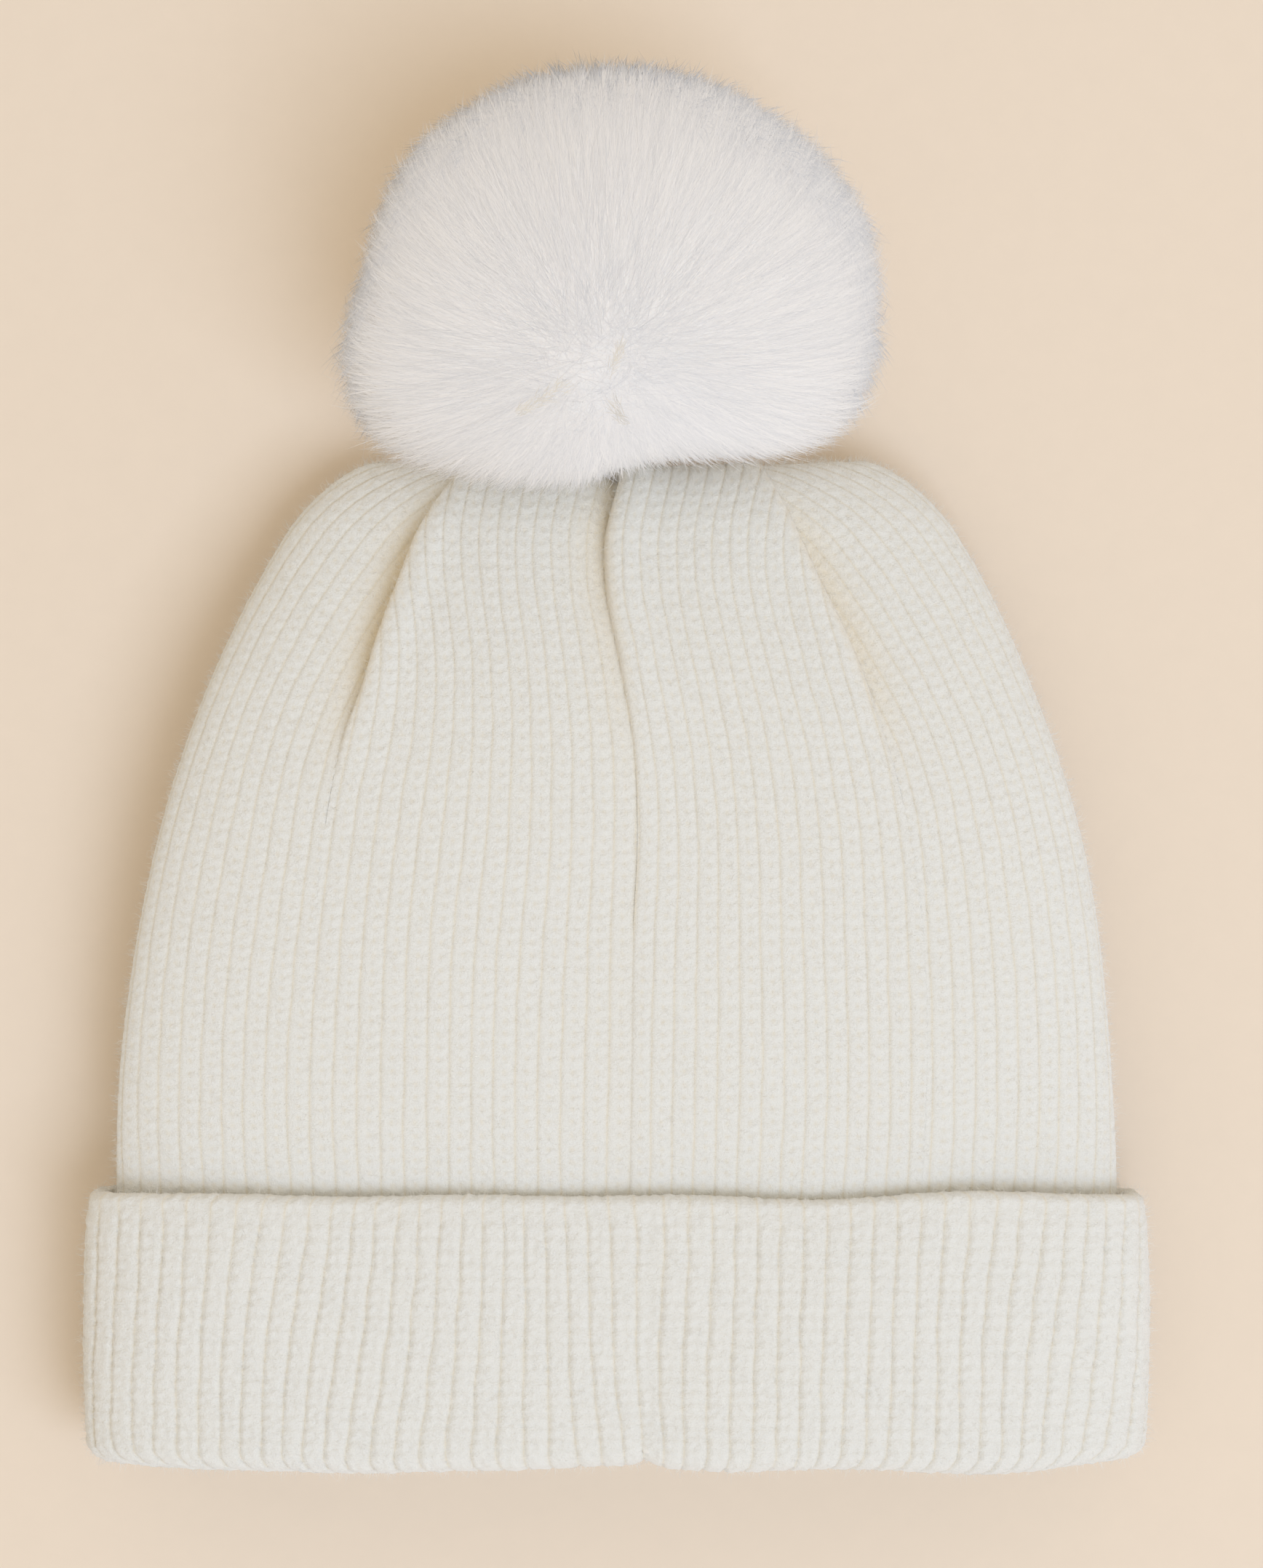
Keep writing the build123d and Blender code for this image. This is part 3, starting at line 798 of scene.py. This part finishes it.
def make_disc(name, centre, radius, thickness, material, wobble=0.0):
    """A soft round patch facing along y, with rounded edges."""
    sides, rings = 64, 14
    shares = np.concatenate([np.linspace(0.02, 1, rings), np.linspace(1, 0.02, rings)])
    faced = np.concatenate([np.full(rings, 0.5), np.full(rings, -0.5)])
    lift = faced * np.sqrt(np.clip(1.04 - shares ** 8, 0, 1))
    angle = np.linspace(0, 2 * math.pi, sides, endpoint=False)[None, :]
    reach = radius * shares[:, None] * (1 + wobble * np.sin(5 * angle) + 0.5 * wobble * np.cos(11 * angle))
    points = np.stack([
        centre[0] + reach * np.cos(angle),
        centre[1] + (lift * thickness)[:, None] + 0 * angle,
        centre[2] + reach * np.sin(angle),
    ], -1)
    return make_object(name, points, grid_faces(2 * rings, sides, closed=True), material)


def make_ball(name, centre, radius, material, lumps, rough_seed):
    """A soft ball: the pompom's backing, or the filling in it."""
    rows, columns = 64, 110
    tall = np.linspace(0.002, math.pi - 0.002, rows)
    turn = np.linspace(0, 2 * math.pi, columns, endpoint=False)
    tall, turn = np.meshgrid(tall, turn, indexing="ij")
    directions = np.stack([np.sin(tall) * np.cos(turn), np.sin(tall) * np.sin(turn), np.cos(tall)], -1)
    bumps = wander(directions[..., 0] * 20, directions[..., 1] * 20 + directions[..., 2] * 20, 9, rough_seed)
    points = centre + directions * (radius + lumps * bumps)[..., None]
    uv = np.stack([turn, tall], -1)
    return make_object(name, points, grid_faces(rows, columns, closed=True)[:, ::-1], material, uv)


def make_label(material):
    """A soft woven care label with no words on it, sewn along one end and curling at the other."""
    rows, columns = 26, 30
    down, over = np.meshgrid(np.linspace(0, 1, rows), np.linspace(0, 1, columns), indexing="ij")
    x = LABEL_LOW[0] + (LABEL_HIGH[0] - LABEL_LOW[0]) * over
    y = LABEL_HIGH[1] - (LABEL_HIGH[1] - LABEL_LOW[1]) * down
    z = (LABEL_LOW[2] + LABEL_HIGH[2]) / 2 - 0.9 * down ** 2 + 0.25 * np.sin(over * 5) * down
    top, under = np.stack([x, y, z + 0.2], -1), np.stack([x, y, z - 0.2], -1)
    points = np.concatenate([top.reshape(-1, 3), under.reshape(-1, 3)])
    count = rows * columns
    faces = [grid_faces(rows, columns)[:, ::-1], grid_faces(rows, columns, count)]
    rim = np.concatenate([
        np.arange(columns), np.arange(1, rows) * columns + columns - 1,
        count - 2 - np.arange(columns - 1), (rows - 2 - np.arange(rows - 2)) * columns,
    ])
    after = np.roll(rim, -1)
    faces.append(np.stack([rim, after, after + count, rim + count], -1))
    uv = np.concatenate([np.stack([over, down], -1).reshape(-1, 2)] * 2)
    return make_object("care_label_woven", points, np.concatenate(faces), material, uv)


def sewn_parts(seam_yarn, thread, felt, label, backing, filling):
    """Every part that the knit or the fur hides, as (piece, body, slot, the node that it replaces)."""
    seam_low, seam_high = box_mm("body_back_seam")
    cuff_low, cuff_high = box_mm("cuff_back_seam")
    dart_low, dart_high = box_mm("crown_dart_seams")
    gather_low, gather_high = box_mm("crown_gather_yarn")
    patch_low, patch_high = box_mm("crown_patch")
    tie_low, tie_high = box_mm("tie_thread")
    shank_low, shank_high = box_mm("pom_shank")
    cord_low, cord_high = box_mm("pom_gather_cord")
    core = (CORE_LOW + CORE_HIGH) / 2
    core_radius = (CORE_HIGH[0] - CORE_LOW[0]) / 2
    parts = []

    def add(piece, body, slot, node):
        parts.append((piece, body, slot, node))

    y = np.linspace(seam_low[1], seam_high[1], 60)
    bends = [seam_low[1], HEM_Y + 58, HEM_Y + 75, seam_high[1]]
    rises = [seam_low[2] + 0.9, seam_low[2] + 0.9, seam_high[2] - 1.2, seam_high[2] - 0.9]
    path = np.stack([(seam_low[0] + seam_high[0]) / 2 + 0 * y, y, np.interp(y, bends, rises)], -1)
    seam = make_yarn("body_seam_overlock", path, 1.9, seam_yarn, stitch=2.6, flat=0.4)
    add(seam, "hat", "seam_yarn", "body_back_seam")

    y = np.linspace(cuff_low[1] + 1, cuff_high[1] - 1, 40)
    x = (cuff_low[0] + cuff_high[0]) / 2 + 0.15 * np.sin(y / 9)
    path = np.stack([x, y, cuff_high[2] - 0.9 + 0 * y], -1)
    seam = make_yarn("cuff_seam_overlock", path, 1.5, seam_yarn, stitch=2.75, flat=0.45)
    add(seam, "hat", "seam_yarn", "cuff_back_seam")

    share = np.linspace(0, 1, 30)
    places = [(level, side) for level in (dart_low[2] + 1.3, dart_high[2] - 1.3) for side in (-1, 0, 1)]
    for number, (level, side) in enumerate(places, 1):
        x = side * (dart_high[0] - 1.6 + (DART_OUT_HIGH - dart_high[0]) * share ** 1.4)
        y = dart_low[1] + 1 + (dart_high[1] - dart_low[1] - 2) * share
        z = level + (16 - level) * 0.25 * share
        path = np.stack([x, y, z], -1)
        dart = make_yarn(f"dart_seam_{number}", path, 1.1, seam_yarn, stitch=2.4, flat=0.7)
        add(dart, "hat", "seam_yarn", "crown_dart_seams")

    centre = (gather_low + gather_high) / 2
    path = ring_path(centre, (gather_high[0] - gather_low[0]) / 2 - 1)
    loops = make_yarn("gathered_loops", path, 0.95, seam_yarn, closed=True, stitch=1.6)
    add(loops, "hat", "seam_yarn", "crown_gather_yarn")
    centre = (patch_low + patch_high) / 2
    radius, thickness = (patch_high[0] - patch_low[0]) / 2, patch_high[1] - patch_low[1]
    add(make_disc("felt_patch", centre, radius, thickness, felt, 0.008), "hat", "felt", "crown_patch")

    middle = (tie_low + tie_high) / 2
    path = [(middle[0], y, middle[2]) for y in np.linspace(tie_low[1] + 0.4, tie_high[1] - 0.4, 30)]
    add(make_yarn("tie_strands", path, 1.3, thread, stitch=0.9), "hat", "thread", "tie_thread")
    ends = np.array([[0, shank_low[1] + 3, shank_low[2] + 3], [0, shank_high[1] - 3, shank_high[2] - 3]])
    share = np.linspace(-0.12, 1.12, 30)[:, None]
    path = ends[0] + (ends[1] - ends[0]) * share
    add(make_yarn("shank_wrapping", path, 2.3, thread, stitch=1.1), "shank", "thread", "pom_shank")

    facing = unit(ends[1] - ends[0])
    ring_middle = (cord_low + cord_high) / 2
    side = np.array([1.0, 0.0, 0.0])
    other = np.cross(facing, side)
    angle = np.linspace(0, 2 * math.pi, 48)[:, None]
    path = ring_middle + 6.1 * (side * np.cos(angle) + other * np.sin(angle))
    cord = make_yarn("backing_drawcord", path, 0.8, thread, closed=True, stitch=1.2)
    add(cord, "pompom", "thread", "pom_gather_cord")
    cloth = make_ball("fur_backing", core, core_radius - 0.2, backing, 0.12, 31)
    add(cloth, "pompom", "backing", "pom_backing")
    wool = make_ball("fibre_filling", core, core_radius - 2.2, filling, 0.5, 32)
    add(wool, "pompom", "stuffing", "pom_stuffing")
    add(make_label(label), "hat", "label", "care_label")
    return parts


# ---------------------------------------------------------------- materials


class Nodes:
    """A small helper that adds and links shader nodes."""

    def __init__(self, name, colour, roughness, sheen=0.0):
        self.material = bpy.data.materials.new(name)
        self.material.use_nodes = True
        self.tree = self.material.node_tree
        self.shader = self.tree.nodes["Principled BSDF"]
        self.shader.inputs["Base Color"].default_value = (*colour, 1)
        self.shader.inputs["Roughness"].default_value = roughness
        self.shader.inputs["Sheen Weight"].default_value = sheen
        self.shader.inputs["Sheen Roughness"].default_value = 0.6
        self.shader.inputs["Specular IOR Level"].default_value = 0.2

    def add(self, kind, **settings):
        node = self.tree.nodes.new(kind)
        for key, value in settings.items():
            if key in node.inputs:
                node.inputs[key].default_value = value
            else:
                setattr(node, key, value)
        return node

    def link(self, source, target):
        self.tree.links.new(source, target)

    def maths(self, operation, a, b=None, c=None, clamp=False):
        node = self.tree.nodes.new("ShaderNodeMath")
        node.operation = operation
        node.use_clamp = clamp
        for socket, value in zip(node.inputs, (a, b, c)):
            if value is None:
                continue
            if isinstance(value, (int, float)):
                socket.default_value = value
            else:
                self.link(value, socket)
        return node.outputs[0]

    def noise(self, scale, detail=4.0, vector=None):
        node = self.tree.nodes.new("ShaderNodeTexNoise")
        node.inputs["Scale"].default_value = scale
        node.inputs["Detail"].default_value = detail
        node.inputs["Roughness"].default_value = 0.65
        if vector is not None:
            self.link(vector, node.inputs["Vector"])
        return node.outputs["Fac"]

    def blend(self, factor, low, high):
        node = self.tree.nodes.new("ShaderNodeMix")
        node.data_type = "RGBA"
        self.link(factor, node.inputs["Factor"])
        for socket, value in ((node.inputs[6], low), (node.inputs[7], high)):
            if isinstance(value, tuple):
                socket.default_value = (*value, 1)
            else:
                self.link(value, socket)
        return node.outputs[2]

    def bump(self, height, strength, distance):
        node = self.tree.nodes.new("ShaderNodeBump")
        node.inputs["Strength"].default_value = strength
        node.inputs["Distance"].default_value = distance
        self.link(height, node.inputs["Height"])
        self.link(node.outputs["Normal"], self.shader.inputs["Normal"])


def knit_material(name, face, groove_shade_colour, holes):
    """Ribbed woollen knit: painted warm shade in the grooves, the stitch holes and the folds, brushed fibres
    all over.
    """
    n = Nodes(name, face, 0.85, sheen=0.7)
    coordinates = n.add("ShaderNodeTexCoord")
    split = n.add("ShaderNodeSeparateXYZ")
    uv = n.add("ShaderNodeUVMap", uv_map="fabric")
    n.link(uv.outputs[0], split.inputs[0])
    rib, row = split.outputs[0], split.outputs[1]
    across = n.maths("ABSOLUTE", n.maths("SUBTRACT", n.maths("MULTIPLY", n.maths("FRACT", rib), 2.0), 1.0))
    in_groove = n.maths("POWER", across, 7.0)
    down = n.maths("SUBTRACT", n.maths("FRACT", row), 0.5)
    off_across = n.maths("POWER", n.maths("DIVIDE", across, 0.22), 2.0)
    off_down = n.maths("POWER", n.maths("DIVIDE", n.maths("ABSOLUTE", down), 0.22), 2.0)
    spot = n.maths("ADD", off_across, off_down)
    in_hole = n.maths("MULTIPLY", n.maths("EXPONENT", n.maths("MULTIPLY", spot, -1.0)), holes)
    coarse = n.noise(1100, 4.0, coordinates.outputs["Object"])
    fine = n.noise(2600, 5.0, coordinates.outputs["Object"])
    large = n.noise(22, 2.0, coordinates.outputs["Object"])
    # Painted shade: the grooves and stitch holes get a darker, creamier colour, broken up by noise, for the
    # warm shade that falls in them.
    groove_painted_shade = n.maths("MULTIPLY", in_groove, n.maths("ADD", coarse, 0.25))
    hole_painted_shade = n.maths("MULTIPLY", n.maths("MULTIPLY", in_hole, coarse), 0.8)
    painted_recess_shade = n.maths("ADD", groove_painted_shade, hole_painted_shade, clamp=True)
    warmer = tuple(c * w for c, w in zip(face, (1.0, 0.992, 0.965)))
    warm = n.blend(n.maths("MULTIPLY", large, 0.55), face, warmer)
    speckled = n.blend(n.maths("MULTIPLY", fine, 0.35), warm, tuple(c * 0.84 for c in face))
    # Painted shade in the folds, blended towards a tan colour by the fold_shade attribute
    fold_shade = n.add("ShaderNodeAttribute", attribute_name="fold_shade")
    knit = n.blend(n.maths("MULTIPLY", painted_recess_shade, 0.8), speckled, groove_shade_colour)
    painted_fold_shade = n.maths("MULTIPLY", fold_shade.outputs["Fac"], 0.75, clamp=True)
    n.link(n.blend(painted_fold_shade, knit, FOLD_SHADE_COLOUR), n.shader.inputs["Base Color"])
    n.link(n.maths("ADD", n.maths("MULTIPLY", coarse, 0.2), 0.74), n.shader.inputs["Roughness"])
    leaning_row = n.maths("SUBTRACT", row, n.maths("MULTIPLY", across, 0.5))
    legs = n.maths("COSINE", n.maths("MULTIPLY", leaning_row, 2 * math.pi))
    fuzz = n.maths("ADD", n.maths("MULTIPLY", coarse, 0.7), n.maths("MULTIPLY", fine, 0.5))
    n.bump(n.maths("ADD", fuzz, n.maths("MULTIPLY", legs, 0.10)), 0.8, 0.0006)
    return n.material


def plain_material(name, colour, roughness, grain_scale, grain_strength, sheen=0.0):
    """One colour with a little fine variation and grain, for threads, felt, tape and plastic."""
    n = Nodes(name, colour, roughness, sheen)
    coordinates = n.add("ShaderNodeTexCoord")
    grain = n.noise(grain_scale, 4.0, coordinates.outputs["Object"])
    darker = tuple(c * 0.96 for c in colour)
    n.link(n.blend(grain, darker, colour), n.shader.inputs["Base Color"])
    n.link(n.maths("ADD", n.maths("MULTIPLY", grain, 0.15), roughness - 0.07), n.shader.inputs["Roughness"])
    n.bump(grain, grain_strength, 0.0003)
    return n.material


# ---------------------------------------------------------------- stage, light and camera


def make_stage():
    """A plain pale paper floor."""
    size = FLOOR_HALF_SIZE
    corners = [(-size, -size, 0), (size, -size, 0), (size, size, 0), (-size, size, 0)]
    paper = plain_material("paper", PAPER_COLOUR, 0.9, 140, 0.03)
    floor = make_object("paper_floor", np.array(corners) / MM, [[0, 1, 2, 3]], paper, smooth_shading=False)


def make_light(name, position, size, power, colour, target=(0, 0, 0.02)):
    data = bpy.data.lights.new(name, "AREA")
    data.shape = "SQUARE"
    data.size = size
    data.energy = power
    data.color = colour
    light = bpy.data.objects.new(name, data)
    light.location = position
    light.rotation_mode = "QUATERNION"
    light.rotation_quaternion = (Vector(target) - Vector(position)).to_track_quat("-Z", "Y")
    bpy.context.collection.objects.link(light)


def make_studio():
    scene = bpy.context.scene
    scene.view_settings.view_transform = "Standard"
    scene.view_settings.look = "None"
    world = bpy.data.worlds.new("studio")
    world.use_nodes = True
    background = world.node_tree.nodes["Background"]
    background.inputs["Color"].default_value = (*ROOM_COLOUR, 1)
    background.inputs["Strength"].default_value = 1.0
    scene.world = world
    make_light("key_softbox", KEY_POSITION, KEY_SIZE, KEY_POWER, KEY_COLOUR)
    camera_data = bpy.data.cameras.new("camera")
    camera_data.lens = CAMERA_LENS
    camera_data.sensor_width = 36.0
    camera_data.clip_start = 0.05
    camera_data.clip_end = 50.0
    camera = bpy.data.objects.new("camera", camera_data)
    camera.location = (CAMERA_X * MM, CAMERA_Y * MM, CAMERA_HEIGHT)
    bpy.context.collection.objects.link(camera)
    scene.camera = camera


# ---------------------------------------------------------------- the hat


def finish_cad_nodes(materials):
    """Better materials on the CAD pieces that keep their shape."""
    for node, material in materials.items():
        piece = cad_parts[node]
        for slot in piece.material_slots:
            slot.link = "OBJECT"
            slot.material = material


def main():
    make_stage()
    make_studio()
    knit = knit_material("rib_knit", KNIT_COLOUR, GROOVE_SHADE_COLOUR, 1.0)
    cuff_knit = knit_material("rib_knit_reverse", KNIT_COLOUR, GROOVE_SHADE_COLOUR, 0.12)
    wool_fuzz = Nodes("wool_fibres", (0.87, 0.865, 0.82), 0.8, sheen=0.2).material
    fur = []
    for number, white in enumerate(FUR_WHITES, 1):
        fur.append(Nodes(f"fur_strands_{number}", white, 0.55, sheen=0.6).material)
    # Painted shade in the fur's partings
    fur_parting_shade = Nodes("fur_parting_shade", (0.81, 0.76, 0.66), 0.6).material
    undercoat = plain_material("fur_undercoat", (0.88, 0.87, 0.85), 0.8, 700, 0.3, sheen=0.6)
    thread = plain_material("sewing_thread", (0.78, 0.76, 0.70), 0.7, 900, 0.3)
    seam_yarn = plain_material("seam_yarn_twist", (0.82, 0.81, 0.76), 0.8, 1100, 0.5)
    felt = plain_material("pressed_felt", (0.80, 0.79, 0.75), 0.9, 1500, 0.6)
    label = plain_material("label_weave", (0.88, 0.88, 0.86), 0.6, 1800, 0.3)
    backing = plain_material("knitted_backing", (0.80, 0.79, 0.76), 0.85, 800, 0.5)
    filling = plain_material("fibre_filling_wool", (0.88, 0.88, 0.87), 0.9, 350, 0.8)
    plastic = plain_material("clear_white_plastic", (0.78, 0.78, 0.76), 0.35, 250, 0.05)

    body, samples = make_body(knit)
    for piece in body:
        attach(piece, "hat")
    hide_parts("knit_body")
    cuff, cuff_samples = make_cuff(cuff_knit)
    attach(cuff, "hat")
    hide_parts("turn_up_cuff")
    body_points = np.concatenate([p for p, _ in samples])
    body_normals = np.concatenate([n for _, n in samples])
    for name, points, normals, pieces in (
        ("body_fuzz", body_points, body_normals, 3),
        ("cuff_fuzz", *cuff_samples, 2),
    ):
        for piece in range(pieces):
            fuzz = make_fuzz(f"{name}_{piece + 1}", points, normals, FIBRES_PER_PIECE, wool_fuzz)
            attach(fuzz, "hat")
            fuzz.visible_diffuse = False

    strands = make_fur(fur)
    strands.append(make_partings(fur_parting_shade))
    let_light_through(strands)
    mass = make_undercoat(undercoat)
    for piece in [*strands, mass]:
        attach(piece, "pompom")
    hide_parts("pom_pile")
    soft = undercoat.node_tree.nodes["Principled BSDF"]
    soft.inputs["Subsurface Weight"].default_value = 1.0
    soft.inputs["Subsurface Radius"].default_value = (1.0, 0.95, 0.9)
    soft.inputs["Subsurface Scale"].default_value = 0.008
    for piece, part_body, part_slot, node in sewn_parts(seam_yarn, thread, felt, label, backing, filling):
        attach(piece, part_body)
        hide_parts(node)
    finish_cad_nodes({"anchor_button": plastic, "pom_base_disc": plastic})


main()
